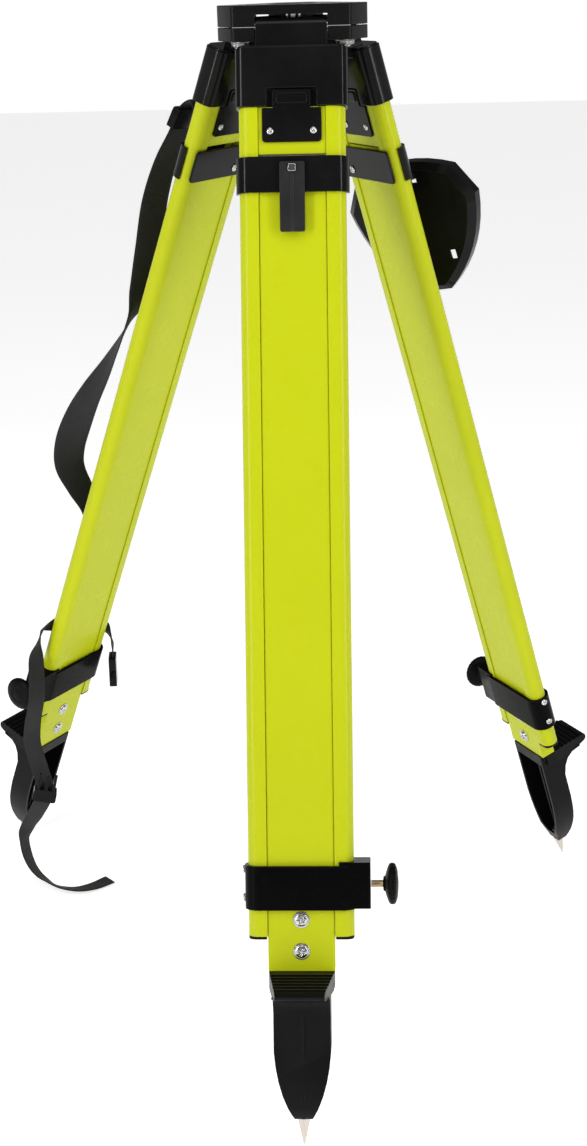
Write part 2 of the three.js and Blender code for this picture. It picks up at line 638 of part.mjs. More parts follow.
// A flat band along the points [u, w, s, across u, across w, across s].
function webbing(route, width, thick, steps) {
  const centre = new THREE.CatmullRomCurve3(route.map(inLeg), false, 'centripetal');
  const across = new THREE.CatmullRomCurve3(route.map((row) => inLeg(row.slice(3))), false, 'centripetal');
  const strip = new THREE.BoxGeometry(width, thick, 1, 1, 1, steps);
  const corners = strip.attributes.position;
  for (let i = 0; i < corners.count; i += 1) {
    const at = corners.getZ(i) + 0.5;
    const tangent = centre.getTangent(at);
    const side = across.getPoint(at);
    side.addScaledVector(tangent, -side.dot(tangent)).normalize();
    const normal = new THREE.Vector3().crossVectors(tangent, side);
    const point = centre.getPoint(at)
      .addScaledVector(side, corners.getX(i))
      .addScaledVector(normal, corners.getY(i));
    corners.setXYZ(i, point.x, point.y, point.z);
  }
  return strip;
}

const turned = (u, w, s, angle) => [u, w, s, Math.cos(radians(angle)), Math.sin(radians(angle)), 0];

// The carrying strap: folded over at the top, hanging clear with half a twist, then flat on the leg.
const SHOULDER_ROUTE = [
  turned(2, 16.6, 158, 180), turned(2, 20, 136, 180), turned(3, 27, 112, 180), turned(4, 36, 103, 180),
  turned(6, 44.5, 113, 180), turned(8, 48, 144, 182), turned(9.5, 53.6, 182, 188),
  turned(12, 52.6, 232, 195), turned(14.8, 41.5, 290, 200), turned(18.6, 33.7, 338, 192),
  turned(20, 32.5, 363, 172), turned(22, 37.2, 386, 155), turned(24, 42, 416, 142),
  turned(26, 49.6, 454, 125), turned(28, 59.6, 494, 105), turned(29.7, 66.4, 533, 80),
  turned(29.8, 68.6, 571, 55), turned(28.2, 62.4, 598, 35),
  turned(22, 43, 622, 14), turned(13, 26, 642, 4), turned(5, 15.5, 668, 0), turned(1, 13, 700, 0),
  turned(0, 13, 760, 0), turned(0, 13, 815, 0), turned(0, 13, 868, 0),
];

// The tie strap: from its socket buckle, across the leg's outer face, past the knob, through its
// plug buckle and down to the floor, where its end curls.
const TIE_ROUTE = [
  [-60.4, -26, 887, -0.79, 0.62, 0], [-61.5, -20.5, 871, -0.79, 0.62, 0], [-61.5, -9, 857, -0.5, 0.7, 0.5],
  [-59.4, 0, 852, 0, 0.1, 1], [-55.6, 9.4, 850, 0, 0, 1], [-46, 13.6, 847, 0, 0, 1],
  [-26, 15.8, 841, 0, 0, 1], [0, 16, 832, 0, 0, 1], [26, 15.8, 822, 0, 0, 1],
  [46, 15.6, 815, 0, 0.2, 1], [60, 16.5, 817, -0.5, 0.5, 0.7],
  [68, 12, 833, -0.9, 0.4, 0.2], [77, 3, 851, -0.95, -0.3, 0],
  [90, -14, 867, -0.9, -0.4, 0], [98, -26, 883, -0.9, -0.42, 0], [100, -30, 898, -0.9, -0.42, 0],
  [99, -32, 925, -0.85, -0.5, 0], [97, -38, 955, -0.7, -0.7, 0], [95.5, -58, 985, -0.62, -0.79, 0],
  [98, -77, 1006, -0.62, -0.79, 0], [99, -79, 1022, -0.62, -0.79, 0], [95, -71, 1060, -0.7, -0.7, 0],
  [91, -62, 1097, -0.9, -0.4, 0], [93, -65, 1112, -0.95, 0.1, 0.1], [95, -75.6, 1127, -0.95, 0.3, 0],
  [95.5, -90, 1140, -0.92, 0.35, 0.2], [94.5, -105, 1147, -0.85, 0.35, 0.4],
  [98.5, -127, 1142, -0.74, 0.25, 0.64], [97, -147, 1135.5, -0.72, 0.4, 0.56],
  [86.7, -163, 1131.7, -0.62, 0.62, 0.48], [68, -174.8, 1128.5, -0.48, 0.78, 0.4],
  [42.2, -181.8, 1126.8, -0.4, 0.85, 0.34],
];

function socketBuckle() {
  const body = extrude(rectangle(14.5, 21, 3), 10, 2);
  const inside = new THREE.BoxGeometry(25, 34, 6).translate(0, -7, 5);
  const sides = new THREE.BoxGeometry(40, 10, 6.4).translate(0, -2, 5);
  const entry = new THREE.BoxGeometry(23, 12, 3.6).translate(0, 19, 5);
  return cut(body, inside, sides, entry).translate(0, 0, -5);
}

function plugBuckle() {
  const block = extrude(rectangle(15.2, 9, 3), 12, 2);
  const arms = [-10.2, 10.2].map((x) => new THREE.BoxGeometry(3.6, 26, 4).translate(x, 20, 9.4));
  const guide = new THREE.BoxGeometry(4, 22, 3).translate(0, 18, 9.4);
  const way = new THREE.BoxGeometry(25.8, 40, 5.6).translate(0, 0, 4);
  return join(cut(block, way), ...arms, guide).translate(0, 0, -4);
}

function strapSlider() {
  const frame = extrude(rectangle(23, 12, 3), 9, 2);
  return cut(frame, new THREE.BoxGeometry(40, 60, 5).translate(0, 0, 4.5)).translate(0, 0, -4.5);
}

// Puts a fitting on a strap: its x along the strap's width and its y back along the strap.
function onStrap(mesh, at, forward, width) {
  const y = inLeg(forward).normalize().negate();
  const x = inLeg(width);
  x.addScaledVector(y, -x.dot(y)).normalize();
  mesh.matrix.makeBasis(x, y, new THREE.Vector3().crossVectors(x, y)).setPosition(inLeg(at));
  mesh.matrix.decompose(mesh.position, mesh.quaternion, mesh.scale);
}

function buildStraps(parent) {
  const { width, thick } = SHOULDER_STRAP;
  node('shoulder_strap', webbing(SHOULDER_ROUTE, width, thick, 60), WEBBING, parent);
  node('tie_strap', webbing(TIE_ROUTE, TIE_STRAP.width, TIE_STRAP.thick, 80), WEBBING, parent);
  onStrap(node('strap_slider', strapSlider(), BLACK, parent), [7, 46.6, 128], [1.6, 3.2, 30], [-1, 0, 0]);
  const socket = node('tie_buckle_socket', socketBuckle(), BLACK, parent);
  onStrap(socket, [-60, -33, 904], [0.2, -7, 18], [-0.79, 0.62, 0]);
  const plug = node('tie_buckle_plug', plugBuckle(), BLACK, parent);
  onStrap(plug, [98.5, -78.6, 1014], [1, -2, 16], [-0.62, -0.79, 0]);
}

// ---------------------------------------------------------------- assembly
buildHead();
const legs = Object.fromEntries(LEGS.map((leg) => [leg.name, buildLeg(leg)]));
node('hook_tab_front', hookTab(false), BLACK, legs.front);
node('hook_tab_right', hookTab(true), BLACK, legs.right);
buildCover(legs.right);
buildStraps(legs.left);

// The origin is on the floor, under the middle of everything but the two straps.
tripod.updateMatrixWorld(true);
const rigid = new THREE.Box3();
tripod.traverse((part) => {
  if (part.isMesh && part.material !== WEBBING) rigid.union(new THREE.Box3().setFromObject(part, true));
});
const middle = rigid.getCenter(new THREE.Vector3());
tripod.position.set(-middle.x, -middle.y, -rigid.min.z);

export default tripod;
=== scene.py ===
"""Looks of the surveyor tripod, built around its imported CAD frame. Metres, +Z up."""
import json
import math

import bmesh
import bpy
from mathutils import Matrix, Vector


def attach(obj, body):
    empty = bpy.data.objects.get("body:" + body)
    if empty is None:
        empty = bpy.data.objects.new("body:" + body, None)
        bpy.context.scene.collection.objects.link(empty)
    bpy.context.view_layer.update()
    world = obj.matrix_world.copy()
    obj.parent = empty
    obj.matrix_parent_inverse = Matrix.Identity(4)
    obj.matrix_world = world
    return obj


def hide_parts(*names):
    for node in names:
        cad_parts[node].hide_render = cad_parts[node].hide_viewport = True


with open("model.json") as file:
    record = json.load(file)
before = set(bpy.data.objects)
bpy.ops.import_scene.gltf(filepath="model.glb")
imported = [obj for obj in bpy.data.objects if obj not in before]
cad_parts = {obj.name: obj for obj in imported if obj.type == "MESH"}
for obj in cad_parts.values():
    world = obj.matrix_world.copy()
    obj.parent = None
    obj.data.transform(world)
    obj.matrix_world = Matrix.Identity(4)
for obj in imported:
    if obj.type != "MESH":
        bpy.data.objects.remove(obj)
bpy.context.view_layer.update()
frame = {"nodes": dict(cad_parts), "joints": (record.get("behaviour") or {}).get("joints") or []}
NODES = frame["nodes"]
JOINTS = {joint["name"]: joint for joint in frame["joints"]}
LEGS = ("front", "right", "left")
MM = 0.001

# ---------------------------------------------------------------- camera
HEAD_AXIS = Vector((0.043048, 0.077653, 0.000299))  # the foot of the head's axis
HEADING, PITCH, ROLL = (math.radians(angle) for angle in (2.672, 19.089, -1.509))
CAMERA_FROM_AXIS = Vector((0.0869, -1.8625, 1.1658))
LENS_MM, SENSOR_MM = 52.113, 36
SHIFT_X, SHIFT_Y = -0.01197, -0.02257


def make_camera():
    look = Vector((
        -math.sin(HEADING) * math.cos(PITCH), math.cos(HEADING) * math.cos(PITCH), -math.sin(PITCH),
    ))
    level = Vector((math.cos(HEADING), math.sin(HEADING), 0))
    above = level.cross(look)
    right = level * math.cos(ROLL) + above * math.sin(ROLL)
    up = above * math.cos(ROLL) - level * math.sin(ROLL)
    data = bpy.data.cameras.new("camera")
    data.lens, data.sensor_width = LENS_MM, SENSOR_MM
    data.shift_x, data.shift_y = SHIFT_X, SHIFT_Y
    data.clip_start, data.clip_end = 0.05, 60
    camera = bpy.data.objects.new("camera", data)
    camera.matrix_world = Matrix((
        (right.x, up.x, -look.x, 0),
        (right.y, up.y, -look.y, 0),
        (right.z, up.z, -look.z, 0),
        (0, 0, 0, 1),
    ))
    camera.location = HEAD_AXIS + CAMERA_FROM_AXIS
    bpy.context.scene.collection.objects.link(camera)
    bpy.context.scene.camera = camera


make_camera()


# ---------------------------------------------------------------- frames of the parts
# Leg coordinates in millimetres: u across the leg, w outwards, s down from the hinge pin. A leg's own
# axes are x = u, y = -w and z = -s, from the point of its middle plane beside the pin.
PIN_INSET = 7  # from a leg's middle plane in to its pin
PIN_HEIGHT = 1.1135  # metres, from the foot of the head's axis up to the pins


def leg_axes(leg):
    spread = JOINTS[f"leg_spread_{leg}"]
    x = -Vector(spread["axis"]).normalized()
    z = -Vector(JOINTS[f"leg_extend_{leg}"]["axis"]).normalized()
    y = z.cross(x)
    basis = Matrix((x, y, z)).transposed().to_4x4()
    return Matrix.Translation(Vector(spread["pos_m"]) - y * PIN_INSET * MM) @ basis @ Matrix.Scale(MM, 4)


AXES = {leg: leg_axes(leg) for leg in LEGS}
EXTENSION = {leg: -JOINTS[f"leg_extend_{leg}"]["range_m"][0] / MM for leg in LEGS}


def lower_axes(leg):
    return AXES[leg] @ Matrix.Translation((0, 0, -EXTENSION[leg]))


HEAD_AXES = Matrix.Translation(HEAD_AXIS + Vector((0, 0, PIN_HEIGHT))) @ Matrix.Scale(MM, 4)


# ---------------------------------------------------------------- materials
EDGE_RADIUS = 0.0012  # how far wear reaches from an edge
WEAVE_PITCH = 0.0016  # from one pair of the webbing's ribs to the next


class Nodes:
    """A short way to write a node tree."""

    def __init__(self, name):
        self.material = bpy.data.materials.new(name)
        self.material.use_nodes = True
        self.tree = self.material.node_tree
        self.shader = self.tree.nodes["Principled BSDF"]

    def add(self, kind, **inputs):
        node = self.tree.nodes.new(kind)
        for key, value in inputs.items():
            self.put(node, key, value)
        return node

    def put(self, node, key, value):
        """Sets an input, by its number or by its name with underscores, or links a socket to it."""
        socket = node.inputs[key if isinstance(key, int) else key.replace("_", " ")]
        if isinstance(value, bpy.types.NodeSocket):
            self.tree.links.new(value, socket)
        else:
            socket.default_value = value

    def coordinates(self, scale):
        where = self.add("ShaderNodeTexCoord").outputs["Object"]
        mapping = self.add("ShaderNodeMapping", Vector=where)
        mapping.inputs["Scale"].default_value = scale
        return mapping.outputs["Vector"]

    def noise(self, scale, detail, roughness=0.55, stretch=(1, 1, 1)):
        noise = self.add("ShaderNodeTexNoise", Vector=self.coordinates(stretch))
        noise.inputs["Scale"].default_value = scale
        noise.inputs["Detail"].default_value = detail
        noise.inputs["Roughness"].default_value = roughness
        return noise.outputs["Fac"]

    def ramp(self, value, *stops):
        node = self.add("ShaderNodeValToRGB", Fac=value)
        elements = node.color_ramp.elements
        while len(elements) < len(stops):
            elements.new(0.5)
        for element, (position, color) in zip(elements, stops):
            element.position = position
            element.color = (*color, 1)
        return node.outputs["Color"]

    def scalar(self, value, low, high, start=0.0, end=1.0):
        """Takes start to end over to low to high, and holds the value outside them."""
        node = self.add("ShaderNodeMapRange", Value=value)
        for key, number in zip(("From Min", "From Max", "To Min", "To Max"), (start, end, low, high)):
            node.inputs[key].default_value = number
        return node.outputs["Result"]

    def math(self, operation, *values):
        node = self.tree.nodes.new("ShaderNodeMath")
        node.operation = operation
        for i, value in enumerate(values):
            self.put(node, i, value)
        return node.outputs[0]

    def mix(self, amount, first, second):
        node = self.tree.nodes.new("ShaderNodeMix")
        node.data_type = "RGBA"
        self.put(node, 0, amount)
        for key, value in ((6, first), (7, second)):
            self.put(node, key, (*value, 1) if isinstance(value, tuple) else value)
        return node.outputs[2]

    def bump(self, height, strength, distance, after=None):
        node = self.add("ShaderNodeBump", Height=height)
        node.inputs["Strength"].default_value = strength
        node.inputs["Distance"].default_value = distance
        if after is not None:
            self.put(node, "Normal", after)
        return node.outputs["Normal"]

    def edges(self):
        """1 on worn edges, 0 elsewhere."""
        bevel = self.add("ShaderNodeBevel", Radius=EDGE_RADIUS)
        bevel.samples = 4
        dot = self.tree.nodes.new("ShaderNodeVectorMath")
        dot.operation = "DOT_PRODUCT"
        self.put(dot, 0, bevel.outputs["Normal"])
        self.put(dot, 1, self.tree.nodes.new("ShaderNodeNewGeometry").outputs["Normal"])
        return self.scalar(dot.outputs["Value"], 0, 1, 0.99, 0.85)

    def shade(self, **inputs):
        for key, value in inputs.items():
            self.put(self.shader, key, (*value, 1) if isinstance(value, tuple) else value)
        return self.material


def lime_paint():
    n = Nodes("lime_paint")
    color = n.ramp(n.noise(7, 3), (0.3, (0.432, 0.48, 0.006)), (0.7, (0.452, 0.5, 0.007)))
    dust = n.scalar(n.noise(60, 6, 0.7), 0, 0.02, 0.52, 0.78)
    color = n.mix(dust, color, (0.55, 0.57, 0.12))
    scratch = n.scalar(n.noise(900, 2, 0.5, (1, 1, 0.05)), 0, 1, 0.64, 0.72)
    color = n.mix(n.math("MULTIPLY", scratch, 0.06), color, (0.62, 0.64, 0.12))
    plain = n.scalar(n.noise(40, 4), 0.24, 0.34, 0.3, 0.7)
    rough = n.math("ADD", plain, n.math("MULTIPLY", scratch, 0.1))
    peel = n.bump(n.noise(600, 2, 0.4), 0.06, 0.0002)
    return n.shade(Base_Color=color, Roughness=rough, Normal=n.bump(scratch, 0.05, 0.00005, peel),
                   Specular_IOR_Level=0.14)


def black_paint(name, base, low, high, grain, grain_size, gloss):
    """Dusty black with worn edges, of a base tone and a roughness from low to high."""
    n = Nodes(name)
    color = n.ramp(n.noise(14, 4), (0.3, (base * 0.7,) * 3), (0.7, (base * 1.3,) * 3))
    dust = n.scalar(n.noise(70, 7, 0.75), 0, 0.05, 0.55, 0.82)
    color = n.mix(dust, color, (0.045, 0.045, 0.04))
    color = n.mix(n.math("MULTIPLY", n.edges(), 0.12), color, (0.1, 0.1, 0.1))
    scratch = n.scalar(n.noise(500, 2, 0.5, (1, 0.06, 1)), 0, 1, 0.64, 0.7)
    plain = n.scalar(n.noise(70, 5, 0.6), low, high, 0.3, 0.7)
    rough = n.math("ADD", plain, n.math("MULTIPLY", scratch, 0.08))
    normal = n.bump(n.noise(grain_size, 3, 0.6), grain, 0.0003)
    return n.shade(Base_Color=color, Roughness=rough, Normal=normal, Specular_IOR_Level=gloss)


def metal(name, base, low, high, stretch=(1, 1, 1)):
    """Bare or plated metal of a base color, with a roughness from low to high."""
    n = Nodes(name)
    tone = n.noise(240, 4, 0.6, stretch)
    color = n.ramp(tone, (0.25, tuple(c * 0.86 for c in base)), (0.75, base))
    spots = n.scalar(n.noise(900, 5, 0.7), 0, 0.25, 0.64, 0.76)
    color = n.mix(spots, color, tuple(c * 0.4 for c in base))
    rough = n.scalar(n.noise(300, 4, 0.6, stretch), low, high, 0.3, 0.7)
    return n.shade(Base_Color=color, Metallic=1.0, Roughness=rough, Normal=n.bump(tone, 0.03, 0.00005))


def webbing_cloth(name, base):
    """Woven webbing: slanted ribs in pairs across the strap, from its own flat coordinates."""
    n = Nodes(name)
    flat = n.add("ShaderNodeTexCoord").outputs["UV"]
    split = n.add("ShaderNodeSeparateXYZ", Vector=flat)
    across, along = split.outputs["X"], split.outputs["Y"]
    turn = 2 * math.pi / WEAVE_PITCH
    warp = n.math("SINE", n.math("MULTIPLY", across, turn))
    slant = n.math("ADD", n.math("MULTIPLY", along, turn * 0.8), n.math("MULTIPLY", warp, 0.9))
    weft = n.math("SINE", slant)
    weave = n.scalar(n.math("MULTIPLY", n.math("ADD", warp, 1.6), n.math("ADD", weft, 1.4)), 0, 1, 0, 6)
    fuzz = n.noise(1500, 3, 0.6)
    color = n.ramp(weave, (0.1, tuple(c * 0.45 for c in base)), (0.8, base))
    color = n.mix(n.scalar(fuzz, 0, 0.35, 0.45, 0.8), color, tuple(min(1, c * 2.1) for c in base))
    color = n.mix(n.scalar(n.noise(25, 4), 0, 0.2, 0.5, 0.8), color, (0.06, 0.058, 0.052))
    normal = n.bump(n.math("ADD", weave, n.math("MULTIPLY", fuzz, 0.3)), 0.6, 0.0004)
    return n.shade(Base_Color=color, Roughness=n.scalar(fuzz, 0.62, 0.85), Normal=normal,
                   Sheen_Weight=0.06, Sheen_Roughness=0.5, Specular_IOR_Level=0.2)


LIME = lime_paint()
BLACK = black_paint("black_plastic", 0.006, 0.1, 0.18, 0.05, 900, 0.1)
CLAMP_BLACK = black_paint("clamp_plastic", 0.0016, 0.2, 0.3, 0.1, 1000, 0.035)
CASTING = black_paint("black_casting", 0.003, 0.22, 0.34, 0.2, 1400, 0.1)
BOOT_BLACK = black_paint("boot_black", 0.0026, 0.28, 0.4, 0.25, 1100, 0.09)
KNOB_BLACK = black_paint("knob_black", 0.003, 0.32, 0.46, 0.3, 1600, 0.06)
GREY_PLASTIC = black_paint("tab_plastic", 0.016, 0.3, 0.42, 0.2, 1200, 0.22)
STEEL = metal("plated_steel", (0.56, 0.56, 0.56), 0.08, 0.18)
BOLT_STEEL = metal("bolt_steel", (0.34, 0.33, 0.32), 0.14, 0.26)
POINT_STEEL = metal("point_steel", (0.62, 0.56, 0.5), 0.2, 0.34, (1, 1, 0.15))
BRASS = metal("brass", (0.6, 0.43, 0.24), 0.25, 0.45)
WEBBING = webbing_cloth("webbing", (0.021, 0.021, 0.022))
NODE_MATERIALS = {  # by the start of a CAD node's name
    "rail": LIME, "top_web": LIME, "sliding_panel": LIME,
    "hinge_cap": BLACK, "outer_band": BLACK, "leg_clamp": CLAMP_BLACK, "hook_tab": GREY_PLASTIC,
    "boot": BOOT_BLACK, "steel_point": POINT_STEEL, "hinge_pin": STEEL,
    "head_casting": CASTING, "pin_clamp": CASTING, "head_cover": BLACK,
    "fixing_arm": STEEL, "fixing_bush": BRASS, "fixing_screw": STEEL,
    "strap_slider": BLACK, "tie_buckle": BLACK,
}


# ---------------------------------------------------------------- mesh helpers
CAD_BEVEL = 0.0007
WELD_REACH = 0.00001
BEVEL_ANGLE, SHARP_ANGLE, FLAT_ANGLE = (math.radians(angle) for angle in (33, 30, 1))
NORMAL_WEIGHT = 80


def dress(name, material):
    """A CAD node's surface: merged faces, rounded edges and a material."""
    piece = NODES[name]
    mesh = piece.data
    mesh.materials.clear()
    mesh.materials.append(material)
    mesh.shade_smooth()
    for attribute in ("custom_normal", "sharp_face", "sharp_edge"):
        if attribute in mesh.attributes:
            mesh.attributes.remove(mesh.attributes[attribute])
    mesh.set_sharp_from_angle(angle=SHARP_ANGLE)
    weld = piece.modifiers.new("weld", "WELD")
    weld.merge_threshold = WELD_REACH
    flat = piece.modifiers.new("flat", "DECIMATE")
    flat.decimate_type, flat.angle_limit = "DISSOLVE", FLAT_ANGLE
    edges = piece.modifiers.new("edges", "BEVEL")
    edges.width, edges.segments = CAD_BEVEL, 2
    edges.limit_method, edges.angle_limit = "ANGLE", BEVEL_ANGLE
    edges.use_clamp_overlap = True
    edges.harden_normals = True
    edges.miter_outer = "MITER_ARC"


def piece_from(name, build, axes, material, body, replaces=()):
    """A new smooth piece from a bmesh in its own millimetres, put in place by axes."""
    mesh = bpy.data.meshes.new(name)
    build.transform(axes)
    bmesh.ops.recalc_face_normals(build, faces=build.faces)
    build.to_mesh(mesh)
    build.free()
    mesh.materials.append(material)
    mesh.shade_smooth()
    piece = bpy.data.objects.new(name, mesh)
    bpy.context.scene.collection.objects.link(piece)
    normals = piece.modifiers.new("normals", "WEIGHTED_NORMAL")
    normals.weight = NORMAL_WEIGHT
    normals.keep_sharp = True
    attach(piece, body)
    if replaces:
        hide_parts(*replaces)
    return piece


for node_name in NODES:
    for start, node_material in NODE_MATERIALS.items():
        if node_name.startswith(start):
            dress(node_name, node_material)


# ---------------------------------------------------------------- shapes
def in_leg(u, w, s):
    return Vector((u, -w, -s))


def seat(origin, z, x=(1, 0, 0)):
    """Where a piece sits on a leg: its origin and its own z and x, all as (u, w, s)."""
    z = in_leg(*z).normalized()
    x = in_leg(*x)
    x = (x - z * x.dot(z)).normalized()
    return Matrix.Translation(in_leg(*origin)) @ Matrix((x, z.cross(x), z)).transposed().to_4x4()


def skin(rings):
    """A closed surface through rings of points, with a cap on its first and its last."""
    build = bmesh.new()
    rings = [[build.verts.new(point) for point in ring] for ring in rings]
    count = len(rings[0])
    for low, high in zip(rings, rings[1:]):
        for j in range(count):
            build.faces.new((low[j], low[(j + 1) % count], high[(j + 1) % count], high[j]))
    build.faces.new(rings[0][::-1])
    build.faces.new(rings[-1])
    return build


def rounded(points, radius, steps=6):
    """A polygon's outline with its corners rounded, by one radius or by one for each corner."""
    radii = radius if isinstance(radius, (list, tuple)) else [radius] * len(points)
    points = [Vector(point) for point in points]
    outline = []
    for i, corner in enumerate(points):
        before, after = points[i - 1] - corner, points[(i + 1) % len(points)] - corner
        reach = min(radii[i], before.length / 2.05, after.length / 2.05)
        start, end = corner + before.normalized() * reach, corner + after.normalized() * reach
        for k in range(steps + 1):
            t = k / steps
            outline.append(start * (1 - t) ** 2 + corner * (2 * t * (1 - t)) + end * t ** 2)
    return outline


def inset(outline, amount):
    """An anticlockwise outline moved inwards."""
    moved = []
    for i, point in enumerate(outline):
        before = (point - outline[i - 1]).normalized()
        after = (outline[(i + 1) % len(outline)] - point).normalized()
        inward = Vector((-before.y - after.y, before.x + after.x)).normalized()
        reach = amount / max(0.4, inward.dot(Vector((-before.y, before.x))))
        moved.append(point + inward * reach)
    return moved


def slab(outline, bottom, top, rim, steps=3):
    """A plate with rounded rims. Its outline runs anticlockwise."""
    turns = [math.pi / 2 * k / steps for k in range(steps + 1)]
    levels = [(rim * (1 - math.sin(a)), bottom + rim * (1 - math.cos(a))) for a in turns]
    levels += [(inward, bottom + top - z) for inward, z in levels[::-1]]
    return skin([[(p.x, p.y, z) for p in inset(outline, inward)] for inward, z in levels])


def lathe(profile, segments, lobes=0, depth=0.0, rim=math.inf):
    """A turned shape from (radius, z) pairs; beyond a rim radius it may have lobes."""
    rings = []
    for radius, z in profile:
        ring = []
        for k in range(segments):
            angle = 2 * math.pi * k / segments
            here = radius - (depth * (0.5 + 0.5 * math.cos(lobes * angle)) ** 3 if radius > rim else 0)
            ring.append((here * math.cos(angle), here * math.sin(angle), z))
        rings.append(ring)
    return skin(rings)


def pan_head(radius, height, washer=0.0):
    """A domed head with a cross recess, on a washer if that has a radius, seated at z = 0."""
    segments, domes = 48, 16
    base = 0.8 if washer else 0.0
    levels = [(washer, 0), (washer, 0.5), (washer - 0.3, base), (radius + 0.3, base)] if washer else []
    levels += [(radius, base), (radius, base + height * 0.3)]
    for k in range(1, domes):
        share = 1 - k / domes
        levels.append((radius * share, base + height * (0.3 + 0.7 * math.sqrt(1 - share ** 2))))
    rings = []
    for reach, z in levels:
        ring = []
        for k in range(segments):
            angle = 2 * math.pi * (k + 0.5) / segments
            x, y = reach * math.cos(angle), reach * math.sin(angle)
            arm = min(abs(x), abs(y)) / (0.15 * radius)
            sunk = max(0.0, min(1.0, 1.7 - arm)) * max(0.0, min(1.0, (0.66 - reach / radius) * 8))
            ring.append((x, y, z - sunk * height * 0.6))
        rings.append(ring)
    return skin(rings)


def thread(start, end):
    """Ridges for an M8 thread along z."""
    radius, pitch, depth, segments = 3.9, 1.25, 0.5, 28
    turns = int((end - start) / pitch)
    profile = []
    for k in range(turns):
        z = start + k * pitch
        profile += [(radius - depth, z), (radius, z + pitch * 0.45), (radius, z + pitch * 0.6)]
    return lathe(profile + [(radius - depth, start + turns * pitch)], segments)


def joined(builds):
    whole = bmesh.new()
    for build in builds:
        mesh = bpy.data.meshes.new("part")
        build.to_mesh(mesh)
        build.free()
        whole.from_mesh(mesh)
        bpy.data.meshes.remove(mesh)
    return whole


def placed(build, matrix):
    build.transform(matrix)
    return build


def rectangle(x0, x1, y0, y1):
    return [(x0, y0), (x1, y0), (x1, y1), (x0, y1)]


# ---------------------------------------------------------------- pieces of a leg
PLATE_OUTLINE = [
    (-31, -124.5), (31, -124.5), (31, -89), (19.7, -89), (19.7, -71), (-19.7, -71), (-19.7, -89), (-31, -89),
]
PLATE_RADII = [4.5, 4.5, 1.5, 0.4, 2, 2, 0.4, 1.5]
PLATE_SEAT, PLATE_THICK = 9.8, 2.6  # w of the hinge plates' backs, and their thickness
RIVET = [(3.8, -0.2), (3.8, 0.4), (3.4, 1.1), (2.5, 1.6), (1.6, 1.75), (1.25, 1.0), (0.5, 0.9)]
RIVET_U, RIVET_S = 22.5, 113
BRACE_SEAT, BRACE_THICK = 11.3, 2.8  # the same for the inner plate
BRACE_SCREW_S = 166
BRACE_SCREW_U = {"front": -33, "right": -33, "left": 27}
CLAMP_SCREW_U, CLAMP_SCREW_S = -59.2, (882, 912)
PLUG_OUTLINE = [  # of the right rail's end, open where the sliding panel's tongue passes
    (36, -10.7), (55.5, -10.7), (55.5, 10.7), (36, 10.7), (36, 4.9), (40.4, 4.9), (40.4, -4.9), (36, -4.9),
]
PLUG_RADII = [1.2, 11, 11, 1.2, 1.2, 0.3, 0.3, 1.2]
PLUG_S = (951.7, 954.6)
STUD_SEAT = 20.1
KNOB_SEAT = (73.3, 0, 898)
KNOB_PROFILE = [
    (3.9, 12.6), (7, 12.8), (7.8, 13.6), (8, 14.6), (12, 15.8), (17, 17.4), (20, 18.8), (21.3, 20.2),
    (21.6, 21.6), (21.6, 23.2), (21.2, 24.6), (19.8, 25.9), (16, 27.3), (12, 28.2), (11.4, 27.9),
    (8.2, 27.9), (7.6, 28.5), (2, 28.8),
]
CROSS_BOLT_S = {"upper": 923.2, "lower": 956.4}
CROSS_BOLT_SEAT = 9.6
HEAD_BOLT_PLACES = ((-54, -36, -14.2), (54, -36, -14.2))  # on the front corner, from the pins' height
HEAD_TURN = {"front": 0, "right": 120, "left": 240}
HEXAGON_REACH = 7.4


